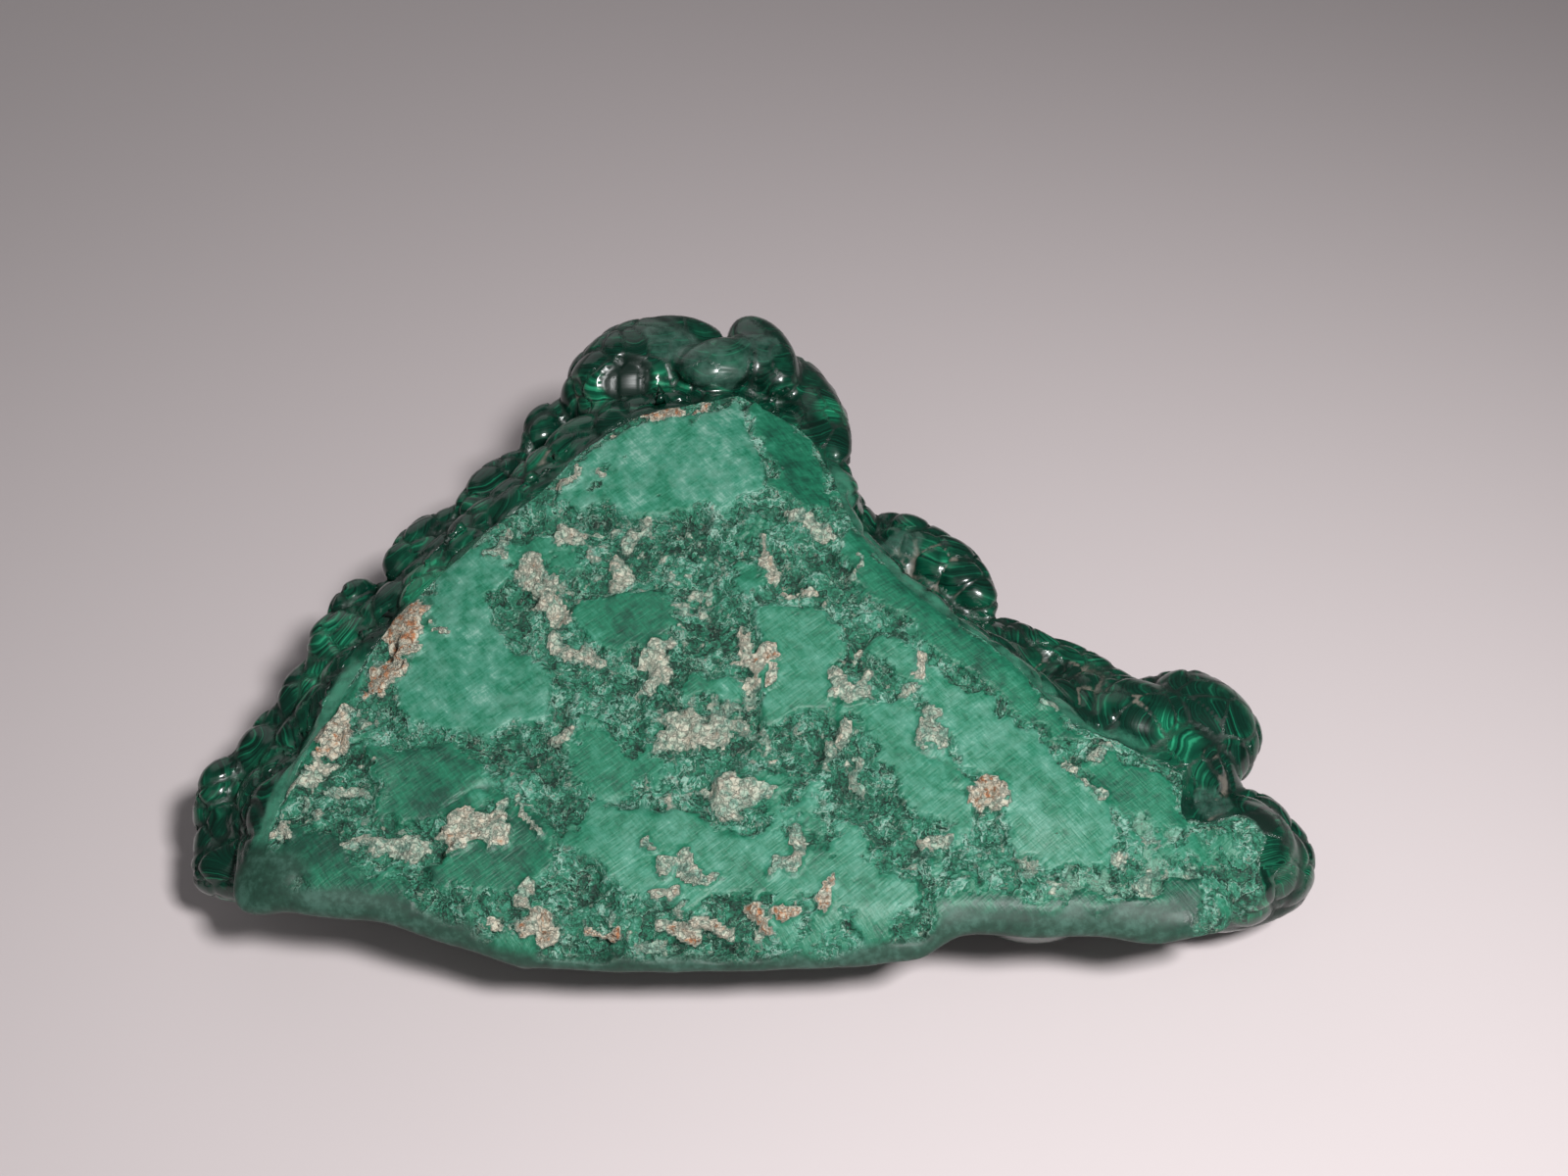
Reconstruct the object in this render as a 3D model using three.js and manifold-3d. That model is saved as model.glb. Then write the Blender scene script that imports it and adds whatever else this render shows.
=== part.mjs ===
// A cabinet specimen of botryoidal malachite, in millimetres, +Z up.
// It is one natural stone. It lies on its polished, bubbly side, and its broken and ground back
// faces up and leans towards -Y. The origin is the centre of its box, on the resting surface.
import * as THREE from "three";
import { mergeVertices } from "three/addons/utils/BufferGeometryUtils.js";
import Module from "manifold-3d";

// Driving dimensions.
const backHeight = 20;    // height of the back at its near rim
const backSlope = 0.28;   // rise of the back for each millimetre towards +Y
const nearRimY = -46;     // where that height is measured
const bulge = 2.4;        // how far a bubble under the stone stands out of it
const bubbleGap = 12.5;   // spacing of the bubbles under the stone
const bubbleRadius = 7.6; // their usual radius
const radiusSpread = 1.5; // and how much it differs from one to the next
const rowGap = 0.87;      // their rows are this share of the spacing apart, as in a honeycomb
const nudge = { x: 0.22, y: 0.2 }; // each is out of its row by up to this share of the spacing
const rowStartY = -4;     // where the middle row lies
const footClearance = 0.6; // share of the spacing kept clear round a foot
const insetFromRim = 3;   // no bubble's middle is nearer to the rim than this
const insetUndercut = 9;  // or than this along the near side, which is undercut
const nearSide = { from: -26, to: -36 }; // y where the near side's undercut starts and is full
const footWear = 0.6;     // how much of each foot bubble is worn flat
const undercut = 1;       // the near flank falls back this much for each millimetre down
const undercutFrom = 2.5; // from this far below the back
const tiny = 1e-6;        // keeps a lobe's middle from dividing by nothing
const meshDetail = 22;    // the shaped sphere has 20 * (meshDetail + 1)^2 triangles
const middle = { x: -3, y: -12, z: 17 }; // middle of the two nested ellipsoids
const kernel = { x: 30, y: 16, z: 7 };   // half sizes of the one well inside the stone
const around = { x: 90, y: 72, z: 40 };  // half sizes of the one all round it
const marchSteps = 400;         // most moves a point makes on its way to the surface
const marchShare = 0.6;         // each move is this share of the distance that is left
const surfaceTolerance = 0.005; // close enough to the surface
const evenings = 9;             // rounds of spacing the points evenly over the surface
const eveningShare = 0.5;       // each moves a point this far towards its neighbours' middle
const settlings = 3;            // and then takes it back to the surface in this many moves
const boxCentre = { x: -0.91, y: 4.01 }; // centre of the shaped stone's box, seen from above

// The rim of the back seen from above, from the left arm's tip and clockwise.
const rim = [
  [-59, -34], [-58, -28.5], [-55, -20], [-52.4, -14], [-50, -8], [-46.7, -2.5], [-44, 0.6], [-38, 7],
  [-35.7, 10], [-31, 14], [-28, 17], [-23.8, 22.5], [-19.6, 26], [-16.5, 28], [-11, 30], [-7, 32.4],
  [-3, 35], [0, 33.4], [5.4, 31], [8.5, 26.7], [10.6, 21.5], [12.2, 15], [14.8, 9], [19, 3],
  [24, -1.5], [30.4, -5.6], [34.6, -10], [41, -17.6], [46.5, -19], [54, -23], [53, -28.5],
  [54.4, -31.7], [55.4, -40], [45, -42.6], [34.6, -43], [25, -42.6], [21, -45.7], [10.6, -46.8],
  [0, -47.3], [-17.5, -47.3], [-28, -46.8], [-35, -44], [-43.5, -41], [-54, -39.5], [-59, -37],
];

// How far the flank stands out of the rim, in order round it, each [x, y, width].
const shoulders = [
  [-59, -36, 6], [-57, -24, 11], [-50, -8, 10.5], [-41, 4, 9.5], [-33, 12, 9], [-24, 22, 9],
  [-18, 28, 10], [-11, 31, 11], [-3, 35, 10], [5, 31, 8], [10, 23, 4], [13, 14, 2.5], [18, 4, 4],
  [27, -3, 5.5], [38, -13, 4], [46, -19, 7], [53, -24, 9], [54, -32, 10], [55, -39, 3],
  [38, -43, 1.2], [22, -45, 1], [0, -47.3, 1], [-28, -46.8, 1], [-44, -41, 1.5], [-54, -39.5, 2],
];

// Lobes on the flanks, each [x, y, z, half length, half width, half height, turn in degrees].
const flankLobes = [
  // from the left arm's tip up the left flank
  [-65.5, -29.9, 12.5, 6.3, 4.2, 4.2, -9], [-68.5, -22.1, 13, 7.3, 4.7, 4.7, 92],
  [-68.9, -18.6, 17, 4.7, 3.1, 2.8, 68], [-64.2, -12.8, 18.5, 5.8, 3.5, 3.2, 70],
  [-59.6, -5.6, 21, 5.7, 3.6, 3.2, 70], [-56.8, 1.5, 23, 5.4, 3.9, 3.5, 63],
  [-55.8, 8, 24, 4.4, 2.7, 2.5, 60], [-47, 17, 26, 7.7, 4.5, 3.9, 59],
  [-37.5, 26.1, 29, 8.6, 4.1, 3.5, 59], [-31.3, 37.8, 31, 5.7, 3.5, 3.3, 72],
  // the knob at the far end
  [-17.2, 44.5, 34, 12.8, 10.3, 9.3, 32], [-12.3, 48.8, 38.5, 7.1, 4.7, 3.8, 0],
  [-5.6, 40.6, 40.8, 6.4, 4.6, 3.2, 25], [0.8, 45.3, 39, 9.2, 4.5, 4, -69],
  [7.8, 38.4, 34, 13.6, 4.7, 4.2, -72],
  // the right flank, down to the right arm's tip
  [25.2, 17.4, 22, 12.3, 5.6, 5, -49], [40.3, 1.4, 20, 9.9, 3.6, 3.3, -31],
  [47.9, -5.8, 18.5, 5.2, 4.2, 3.8, -21], [58.8, -9.8, 17, 9.6, 8.1, 7.3, -42],
  [64.7, -27.2, 14, 8.7, 6.4, 5.7, -70], [61.6, -32.6, 11, 11, 3.9, 3.9, 14],
  // along the near rim, where the side turns under
  [-46, -31, 15, 7, 5, 5, -20], [-30, -35, 13.5, 7, 5, 4.5, -10], [-14, -37.5, 12.5, 7.5, 5, 4.5, 0],
  [3, -38, 12.5, 7, 5, 4.5, 0], [17, -36.5, 12, 6, 5, 4.5, 10], [33, -33.5, 14, 7, 5, 5, 0],
  [47, -31, 14.5, 6, 5, 5, 0],
];

// Bubbles lower on the far sides, each [x, y, z, radius].
const wallBubbles = [
  [-57, -15, 16, 6.5], [-51, -4, 17, 7], [-44, 6, 19, 8], [-36, 16, 21, 8.5], [-28, 25, 24, 8.5],
  [-17, 34, 21, 9.5], [-5, 36, 28, 10], [3, 31, 21, 10], [9, 23, 23, 8.5], [14, 14, 19, 8.5],
  [22, 7, 17, 8.5], [32, -1, 17, 8], [43, -9, 16, 8.5], [50, -12, 18, 8], [55, -19, 16, 8],
  [61, -30, 15, 8],
];

// The bubbles that the stone stands on, each [x, y, radius].
const footBubbles = [[-35, -24, 13], [36, -25, 13], [-8, 22, 13]];

const clamp01 = (value) => Math.min(1, Math.max(0, value));
const fade = (from, to, value) => THREE.MathUtils.smoothstep(value, from, to);

// The larger of two distances, rounded over a width.
function roundMax(a, b, width) {
  const share = clamp01(0.5 + (0.5 * (a - b)) / width);
  return b + (a - b) * share + width * share * (1 - share);
}
const roundMin = (a, b, width) => -roundMax(-a, -b, width);

// Distance from the rim seen from above, negative inside it.
function rimDistance(x, y) {
  let nearest = Infinity;
  let inside = false;
  for (let i = 0, j = rim.length - 1; i < rim.length; j = i++) {
    const [ax, ay] = rim[i];
    const [bx, by] = rim[j];
    const along = clamp01(((x - ax) * (bx - ax) + (y - ay) * (by - ay)) / ((bx - ax) ** 2 + (by - ay) ** 2));
    nearest = Math.min(nearest, Math.hypot(x - ax - along * (bx - ax), y - ay - along * (by - ay)));
    if (ay > y !== by > y && x < ((bx - ax) * (y - ay)) / (by - ay) + ax) inside = !inside;
  }
  return inside ? -nearest : nearest;
}

// How far the underside's envelope lies above the resting surface, at a distance from the rim.
const floorFlat = 3;      // in the middle
const floorRise = 11;     // and this much more at the rim
const floorReach = 24;    // the rise starts this far inside the rim
const envelope = (fromRim) => floorFlat + floorRise * fade(-floorReach, 2, fromRim);

// The bubbles under the stone: rows set like a honeycomb, nudged so that no two are alike.
function underBubbles() {
  const bubbles = [];
  for (let row = -4; row <= 4; row++) {
    for (let column = -6; column <= 6; column++) {
      const shift = row % 2 === 0 ? 0 : 0.5;
      const x = (column + shift + nudge.x * Math.sin(5.1 * row + 2.3 * column)) * bubbleGap;
      const y = (row * rowGap + nudge.y * Math.cos(3.7 * column + 1.9 * row)) * bubbleGap + rowStartY;
      const radius = bubbleRadius + radiusSpread * Math.sin(4.3 * column + 2.9 * row);
      const fromRim = rimDistance(x, y);
      const nearFoot = footBubbles.some(([fx, fy]) => Math.hypot(x - fx, y - fy) < footClearance * bubbleGap);
      const inset = y > nearSide.from ? insetFromRim : insetUndercut;
      if (fromRim < -inset && !nearFoot) bubbles.push([x, y, envelope(fromRim) + radius - bulge, radius]);
    }
  }
  return bubbles;
}

const feet = footBubbles.map(([x, y, radius]) => [x, y, radius - footWear, radius]);
const spheres = [...wallBubbles, ...feet, ...underBubbles()];
const lobes = [...flankLobes, ...spheres.map(([x, y, z, radius]) => [x, y, z, radius, radius, radius, 0])];

// Distance from one turned ellipsoid.
function lobeDistance(x, y, z, [lx, ly, lz, halfLength, halfWidth, halfHeight, degrees]) {
  const turn = THREE.MathUtils.degToRad(degrees);
  const along = ((x - lx) * Math.cos(turn) + (y - ly) * Math.sin(turn)) / halfLength;
  const across = ((y - ly) * Math.cos(turn) - (x - lx) * Math.sin(turn)) / halfWidth;
  const up = (z - lz) / halfHeight;
  const reach = Math.hypot(along, across, up);
  const steepness = Math.hypot(along / halfLength, across / halfWidth, up / halfHeight);
  return ((reach + tiny) * (reach + tiny - 1)) / (steepness + tiny);
}

// Height of the back: one broad broken face, ground off along its near and right rims.
const grounds = [
  { at: [0, nearRimY], height: backHeight, slope: [0, backSlope] },       // the broad face
  { at: [0, -42.5], height: backHeight + 0.6, slope: [0, 0.95] },         // along the near rim
  { at: [28, -2], height: 30.6, slope: [-0.24, 0.03] },                   // down to the right flank
  { at: [-52, -16], height: 27.6, slope: [0.2, 0.2] },                    // down the left arm
  { at: [-2, 22], height: 39.4, slope: [-0.12, 0.2] },                    // the knob's own face
];
const groundBlend = 0.8;   // rounding between two faces
const brokenRelief = 0.4;  // height of the low waves left where the back was broken
function backAt(x, y) {
  const waves = Math.sin(0.3 * x + 0.22 * y + 1) + Math.sin(0.41 * y - 0.17 * x + 2.2)
    + 0.7 * Math.sin(0.52 * x - 0.23 * y + 0.6) + 0.7 * Math.sin(0.08 * x + 0.63 * y + 4);
  const heights = grounds.map(({ at, height, slope }) => {
    return height + slope[0] * (x - at[0]) + slope[1] * (y - at[1]);
  });
  return heights.reduce((low, height) => roundMin(low, height, groundBlend)) + brokenRelief * waves;
}

// The shoulder's width at a place, from the nearest of the listed ones.
const shoulderSpread = 2;  // the widths melt into each other over about this distance
function shoulderAt(x, y) {
  let total = 0;
  let weights = 0;
  for (const [sx, sy, width] of shoulders) {
    const weight = 1 / ((x - sx) ** 2 + (y - sy) ** 2 + shoulderSpread ** 2) ** 2;
    total += weight * width;
    weights += weight;
  }
  return total / weights;
}

// Distance from the stone's surface, negative inside it.
const shoulderDrop = 0.62;  // a shoulder is this share of its width high
const shoulderCurve = 2.3;  // and this round
const backEdge = 0.8;       // rounding of the edge where the back is broken off
const bubbleRise = 2;       // a lobe outside the rim may stand above the back
const bubbleBlend = 2;      // fillet between two lobes
const floorBlend = 6;       // rounding where the sides turn under
function stoneDistance(x, y, z) {
  const fromRim = rimDistance(x, y);
  const back = backAt(x, y);
  const shoulder = shoulderAt(x, y);
  const under = clamp01((back - z) / (shoulderDrop * shoulder));
  const side = fromRim - shoulder * (1 - (1 - under) ** shoulderCurve)
    + undercut * fade(-nearSide.from, -nearSide.to, -y) * Math.max(0, back - z - undercutFrom);
  let distance = roundMax(side, envelope(fromRim - shoulder) - z, floorBlend);
  distance = roundMax(distance, z - back, backEdge);
  const top = z - back - bubbleRise * Math.max(0, fromRim);
  for (const lobe of lobes) {
    distance = roundMin(distance, roundMax(lobeDistance(x, y, z, lobe), top, backEdge), bubbleBlend);
  }
  return distance;
}

// The direction straight out of the surface near a point.
function outwards(point) {
  const { x, y, z } = point;
  const tick = 0.05; // short enough to feel the slope of the surface
  const here = stoneDistance(x, y, z);
  return new THREE.Vector3(
    stoneDistance(x + tick, y, z) - here,
    stoneDistance(x, y + tick, z) - here,
    stoneDistance(x, y, z + tick) - here,
  ).normalize();
}

// Every point slides over the surface towards the middle of its neighbours.
function evenOut(stone) {
  const points = stone.attributes.position;
  const corners = stone.index.array;
  const sums = Array.from({ length: points.count }, () => new THREE.Vector3());
  const counts = new Array(points.count).fill(0);
  const neighbour = new THREE.Vector3();
  for (let i = 0; i < corners.length; i++) {
    const next = i % 3 === 2 ? i - 2 : i + 1;
    sums[corners[i]].add(neighbour.fromBufferAttribute(points, corners[next]));
    counts[corners[i]] += 1;
  }
  const point = new THREE.Vector3();
  for (let i = 0; i < points.count; i++) {
    point.fromBufferAttribute(points, i);
    const slide = sums[i].divideScalar(counts[i]).sub(point);
    const out = outwards(point);
    point.addScaledVector(slide.addScaledVector(out, -slide.dot(out)), eveningShare);
    for (let settle = 0; settle < settlings; settle++) {
      point.addScaledVector(outwards(point), -marchShare * stoneDistance(point.x, point.y, point.z));
    }
    points.setXYZ(i, point.x, point.y, point.z);
  }
}

// The stone: each point of a sphere starts on an ellipsoid all round the stone and moves towards
// its place on the kernel until it meets the surface.
function shapeStone() {
  const sphere = new THREE.IcosahedronGeometry(1, meshDetail);
  sphere.deleteAttribute("normal");
  sphere.deleteAttribute("uv");
  const stone = mergeVertices(sphere, 1e-5);
  const points = stone.attributes.position;
  const from = new THREE.Vector3();
  const to = new THREE.Vector3();
  for (let i = 0; i < points.count; i++) {
    from.fromBufferAttribute(points, i).multiply(around).add(middle);
    to.fromBufferAttribute(points, i).multiply(kernel).add(middle).sub(from).normalize();
    for (let step = 0; step < marchSteps; step++) {
      const gap = stoneDistance(from.x, from.y, from.z);
      if (gap < surfaceTolerance) break;
      from.addScaledVector(to, marchShare * gap);
    }
    points.setXYZ(i, from.x, from.y, from.z);
  }
  for (let round = 0; round < evenings; round++) evenOut(stone);
  return stone.translate(-boxCentre.x, -boxCentre.y, 0);
}

// The feet are worn flat where the stone stands on them: what is below the table's top goes.
const table = { side: 200, depth: 20 };
async function wearFeet(stone) {
  const { Manifold, Mesh } = await Module().then((wasm) => {
    wasm.setup();
    return wasm;
  });
  const toManifold = (geometry) => {
    const mesh = new Mesh({
      numProp: 3,
      vertProperties: new Float32Array(geometry.attributes.position.array),
      triVerts: new Uint32Array(geometry.index.array),
    });
    mesh.merge();
    return new Manifold(mesh);
  };
  const block = new THREE.BoxGeometry(table.side, table.side, table.depth).translate(0, 0, -table.depth / 2);
  block.deleteAttribute("normal");
  block.deleteAttribute("uv");
  const worn = toManifold(stone).subtract(toManifold(mergeVertices(block))).getMesh();
  const geometry = new THREE.BufferGeometry();
  geometry.setAttribute("position", new THREE.BufferAttribute(worn.vertProperties, worn.numProp));
  geometry.setIndex(new THREE.BufferAttribute(worn.triVerts, 1));
  return geometry;
}

const malachite = new THREE.MeshStandardMaterial({ color: 0x2f7a5f, roughness: 0.5, metalness: 0 });
malachite.name = "malachite";
const stone = new THREE.Mesh(await wearFeet(shapeStone()), malachite);
stone.name = "malachite_specimen";
const specimen = new THREE.Group();
specimen.name = "malachite_specimen_group";
specimen.add(stone);

export default specimen;
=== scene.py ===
# A botryoidal malachite specimen, lying on its polished side with its ground back facing up.
import math
from functools import partial

import bpy
import numpy as np
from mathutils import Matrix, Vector


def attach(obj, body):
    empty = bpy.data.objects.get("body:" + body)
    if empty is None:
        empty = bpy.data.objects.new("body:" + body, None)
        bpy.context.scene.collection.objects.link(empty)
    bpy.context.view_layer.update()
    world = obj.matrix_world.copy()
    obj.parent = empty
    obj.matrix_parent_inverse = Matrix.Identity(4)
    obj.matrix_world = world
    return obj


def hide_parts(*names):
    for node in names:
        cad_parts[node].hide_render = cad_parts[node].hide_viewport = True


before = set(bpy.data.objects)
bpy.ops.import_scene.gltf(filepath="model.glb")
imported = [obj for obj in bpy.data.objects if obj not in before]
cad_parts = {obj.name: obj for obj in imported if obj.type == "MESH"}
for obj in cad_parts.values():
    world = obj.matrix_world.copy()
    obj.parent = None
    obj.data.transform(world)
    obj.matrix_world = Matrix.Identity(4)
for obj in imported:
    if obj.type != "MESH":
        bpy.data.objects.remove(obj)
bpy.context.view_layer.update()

millimetre = 0.001

# The stone's plan, in millimetres, in the frame it was drawn in. Its box is centred at the end.
plan = {
    "node": "malachite_specimen",
    "boxCentre": (-0.91, 4.01),
    "floorFlat": 3.0,       # how far the underside's envelope is off the table in the middle
    "floorRise": 11.0,      # and how much more at the rim
    "floorReach": 24.0,
    "bubbleGap": 12.5,
    "bulge": 2.4,
    "footWear": 0.6,
    "shoulderDepth": 0.62,  # the flank is at its widest this far down, as a share of its width
    "shoulderCurve": 2.3,
    "shoulderSpread": 4,
    "undercut": 1.0,        # the near flank falls back this much for each millimetre down
    "undercutFrom": 2.5,
    "undercutSide": (-26, -36),
    "backEdge": 0.8,
    "floorBlend": 6,
    "bubbleRise": 2.0,
    "bubbleBlend": 2.0,
    "rim": [
        (-59, -34), (-58, -28.5), (-55, -20), (-52.4, -14), (-50, -8), (-46.7, -2.5), (-44, 0.6),
        (-38, 7), (-35.7, 10), (-31, 14), (-28, 17), (-23.8, 22.5), (-19.6, 26), (-16.5, 28),
        (-11, 30), (-7, 32.4), (-3, 35), (0, 33.4), (5.4, 31), (8.5, 26.7), (10.6, 21.5),
        (12.2, 15), (14.8, 9), (19, 3), (24, -1.5), (30.4, -5.6), (34.6, -10), (41, -17.6),
        (46.5, -19), (54, -23), (53, -28.5), (54.4, -31.7), (55.4, -40), (45, -42.6), (34.6, -43),
        (25, -42.6), (21, -45.7), (10.6, -46.8), (0, -47.3), (-17.5, -47.3), (-28, -46.8),
        (-35, -44), (-43.5, -41), (-54, -39.5), (-59, -37),
    ],
    "shoulders": [  # x, y and how far the flank stands out of the rim there
        (-59, -36, 6), (-57, -24, 11), (-50, -8, 10.5), (-41, 4, 9.5), (-33, 12, 9), (-24, 22, 9),
        (-18, 28, 10), (-11, 31, 11), (-3, 35, 10), (5, 31, 8), (10, 23, 4), (13, 14, 2.5),
        (18, 4, 4), (27, -3, 5.5), (38, -13, 4), (46, -19, 7), (53, -24, 9), (54, -32, 10),
        (55, -39, 3), (38, -43, 1.2), (22, -45, 1), (0, -47.3, 1), (-28, -46.8, 1),
        (-44, -41, 1.5), (-54, -39.5, 2),
    ],
    "grounds": [  # x, y, height there, slope along x, slope along y
        (0, -46, 20, 0, 0.28),
        (0, -42.5, 20.6, 0, 0.95),
        (28, -2, 30.6, -0.24, 0.03),
        (-52, -16, 27.6, 0.2, 0.2),
        (-2, 22, 39.4, -0.12, 0.2),
    ],
    "flankLobes": [  # x, y, z, half length, half width, half height, turn in degrees
        (-65.5, -29.9, 12.5, 6.3, 4.2, 4.2, -9), (-68.5, -22.1, 13, 7.3, 4.7, 4.7, 92),
        (-68.9, -18.6, 17, 4.7, 3.1, 2.8, 68), (-64.2, -12.8, 18.5, 5.8, 3.5, 3.2, 70),
        (-59.6, -5.6, 21, 5.7, 3.6, 3.2, 70), (-56.8, 1.5, 23, 5.4, 3.9, 3.5, 63),
        (-55.8, 8, 24, 4.4, 2.7, 2.5, 60), (-47, 17, 26, 7.7, 4.5, 3.9, 59),
        (-37.5, 26.1, 29, 8.6, 4.1, 3.5, 59), (-31.3, 37.8, 31, 5.7, 3.5, 3.3, 72),
        (-17.2, 44.5, 34, 12.8, 10.3, 9.3, 32), (-12.3, 48.8, 38.5, 7.1, 4.7, 3.8, 0),
        (-5.6, 40.6, 40.8, 6.4, 4.6, 3.2, 25), (0.8, 45.3, 39, 9.2, 4.5, 4, -69),
        (7.8, 38.4, 34, 13.6, 4.7, 4.2, -72),
        (25.2, 17.4, 22, 12.3, 5.6, 5, -49), (40.3, 1.4, 20, 9.9, 3.6, 3.3, -31),
        (47.9, -5.8, 18.5, 5.2, 4.2, 3.8, -21), (58.8, -9.8, 17, 9.6, 8.1, 7.3, -42),
        (64.7, -27.2, 14, 8.7, 6.4, 5.7, -70), (61.6, -32.6, 11, 11, 3.9, 3.9, 14),
        (-46, -31, 15, 7, 5, 5, -20), (-30, -35, 13.5, 7, 5, 4.5, -10),
        (-14, -37.5, 12.5, 7.5, 5, 4.5, 0), (3, -38, 12.5, 7, 5, 4.5, 0),
        (17, -36.5, 12, 6, 5, 4.5, 10), (33, -33.5, 14, 7, 5, 5, 0),
        (47, -31, 14.5, 6, 5, 5, 0),
    ],
    "wallBubbles": [
        (-57, -15, 16, 6.5), (-51, -4, 17, 7), (-44, 6, 19, 8), (-36, 16, 21, 8.5),
        (-28, 25, 24, 8.5), (-17, 34, 21, 9.5), (-5, 36, 28, 10), (3, 31, 21, 10),
        (9, 23, 23, 8.5), (14, 14, 19, 8.5), (22, 7, 17, 8.5), (32, -1, 17, 8),
        (43, -9, 16, 8.5), (50, -12, 18, 8), (55, -19, 16, 8), (61, -30, 15, 8),
    ],
    "footBubbles": [(-35, -24, 13), (36, -25, 13), (-8, 22, 13)],
}


def fade(low, high, value):
    share = np.clip((value - low) / (high - low), 0, 1)
    return share * share * (3 - 2 * share)


def roundMax(a, b, width):
    share = np.clip(0.5 + 0.5 * (a - b) / width, 0, 1)
    return b + (a - b) * share + width * share * (1 - share)


def roundMin(a, b, width):
    return -roundMax(-a, -b, width)


def outlineDistance(outline, x, y):  # from a closed outline, negative inside it
    nearest = np.full(x.shape, 1e9)
    inside = np.zeros(x.shape, bool)
    ax, ay = outline[-1]
    for bx, by in outline:
        along = ((x - bx) * (ax - bx) + (y - by) * (ay - by)) / ((ax - bx) ** 2 + (ay - by) ** 2)
        along = np.clip(along, 0, 1)
        nearest = np.minimum(nearest, np.hypot(x - bx - along * (ax - bx), y - by - along * (ay - by)))
        if ay != by:
            crosses = ((by > y) != (ay > y)) & (x < (ax - bx) * (y - by) / (ay - by) + bx)
            inside ^= crosses
        ax, ay = bx, by
    return np.where(inside, -nearest, nearest)


def envelope(fromRim):
    return plan["floorFlat"] + plan["floorRise"] * fade(-plan["floorReach"], 2, fromRim)


def underBubbles():  # rows set like a honeycomb and nudged, as in the CAD
    gap = plan["bubbleGap"]
    found = []
    for row in range(-4, 5):
        for column in range(-6, 7):
            shift = 0 if row % 2 == 0 else 0.5
            x = (column + shift + 0.22 * math.sin(5.1 * row + 2.3 * column)) * gap
            y = (row * 0.87 + 0.2 * math.cos(3.7 * column + 1.9 * row)) * gap - 4
            radius = 7.6 + 1.5 * math.sin(4.3 * column + 2.9 * row)
            fromRim = float(outlineDistance(plan["rim"], np.array([x]), np.array([y]))[0])
            nearFoot = any(math.hypot(x - fx, y - fy) < 0.6 * gap for fx, fy, r in plan["footBubbles"])
            if fromRim < (-3 if y > -26 else -9) and not nearFoot:
                found.append((x, y, float(envelope(fromRim)) + radius - plan["bulge"], radius))
    return found


feet = [(x, y, r - plan["footWear"], r) for x, y, r in plan["footBubbles"]]
spheres = plan["wallBubbles"] + feet + underBubbles()
lobes = plan["flankLobes"] + [(x, y, z, r, r, r, 0) for x, y, z, r in spheres]


def lobeDistance(points, lobe):  # from a turned ellipsoid
    turn = math.radians(lobe[6])
    x, y, z = (points - np.array(lobe[:3])).T
    along = (x * math.cos(turn) + y * math.sin(turn)) / lobe[3]
    across = (y * math.cos(turn) - x * math.sin(turn)) / lobe[4]
    up = z / lobe[5]
    reach = np.sqrt(along ** 2 + across ** 2 + up ** 2) + 1e-6
    steep = np.sqrt((along / lobe[3]) ** 2 + (across / lobe[4]) ** 2 + (up / lobe[5]) ** 2) + 1e-6
    return reach * (reach - 1) / steep


def backAt(x, y):
    low = None
    for gx, gy, height, slopeX, slopeY in plan["grounds"]:
        level = height + slopeX * (x - gx) + slopeY * (y - gy)
        low = level if low is None else roundMin(low, level, plan["backEdge"])
    return low


def shoulderAt(x, y):
    total = np.zeros(x.shape)
    weights = np.zeros(x.shape)
    for sx, sy, width in plan["shoulders"]:
        weight = 1 / ((x - sx) ** 2 + (y - sy) ** 2 + plan["shoulderSpread"]) ** 2
        total += weight * width
        weights += weight
    return total / weights


def stoneDistance(points):
    x, y, z = points.T
    fromRim = outlineDistance(plan["rim"], x, y)
    back = backAt(x, y)
    shoulder = shoulderAt(x, y)
    under = np.clip((back - z) / (plan["shoulderDepth"] * shoulder), 0, 1)
    side = fromRim - shoulder * (1 - (1 - under) ** plan["shoulderCurve"])
    below = np.maximum(0, back - z - plan["undercutFrom"])
    side += plan["undercut"] * fade(*plan["undercutSide"], y) * below
    distance = roundMax(side, envelope(fromRim - shoulder) - z, plan["floorBlend"])
    distance = roundMax(distance, z - back, plan["backEdge"])
    top = z - back - plan["bubbleRise"] * np.maximum(0, fromRim)
    for lobe in lobes:
        bulge = roundMax(lobeDistance(points, lobe), top, plan["backEdge"])
        distance = roundMin(distance, bulge, plan["bubbleBlend"])
    return np.maximum(distance, -z)


# Noise in millimetres, on any set of points.
def latticeRandom(cells, seed):
    n = cells[..., 0] * 374761393 + cells[..., 1] * 668265263 + cells[..., 2] * 1440662683
    n = (n + seed * 974634777) & 0xffffffff
    n = ((n ^ (n >> 13)) * 1274126177) & 0xffffffff
    return ((n ^ (n >> 16)) & 0xffff) / 65535.0


def softNoise(points, size, seed):
    scaled = points / size + 0.137
    base = np.floor(scaled).astype(np.int64)
    part = scaled - base
    part = part ** 3 * (part * (part * 6 - 15) + 10)
    total = np.zeros(len(points))
    for corner in range(8):
        step = np.array([corner & 1, corner >> 1 & 1, corner >> 2 & 1])
        weight = np.prod(np.where(step, part, 1 - part), axis=1)
        total += weight * latticeRandom(base + step, seed)
    return 2 * total - 1


def cloudNoise(points, size, seed, octaves=3, gain=0.5):
    total = np.zeros(len(points))
    strength = 1.0
    for octave in range(octaves):
        total += strength * softNoise(points, size * 0.5 ** octave, seed + 17 * octave)
        strength *= gain
    return total


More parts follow.
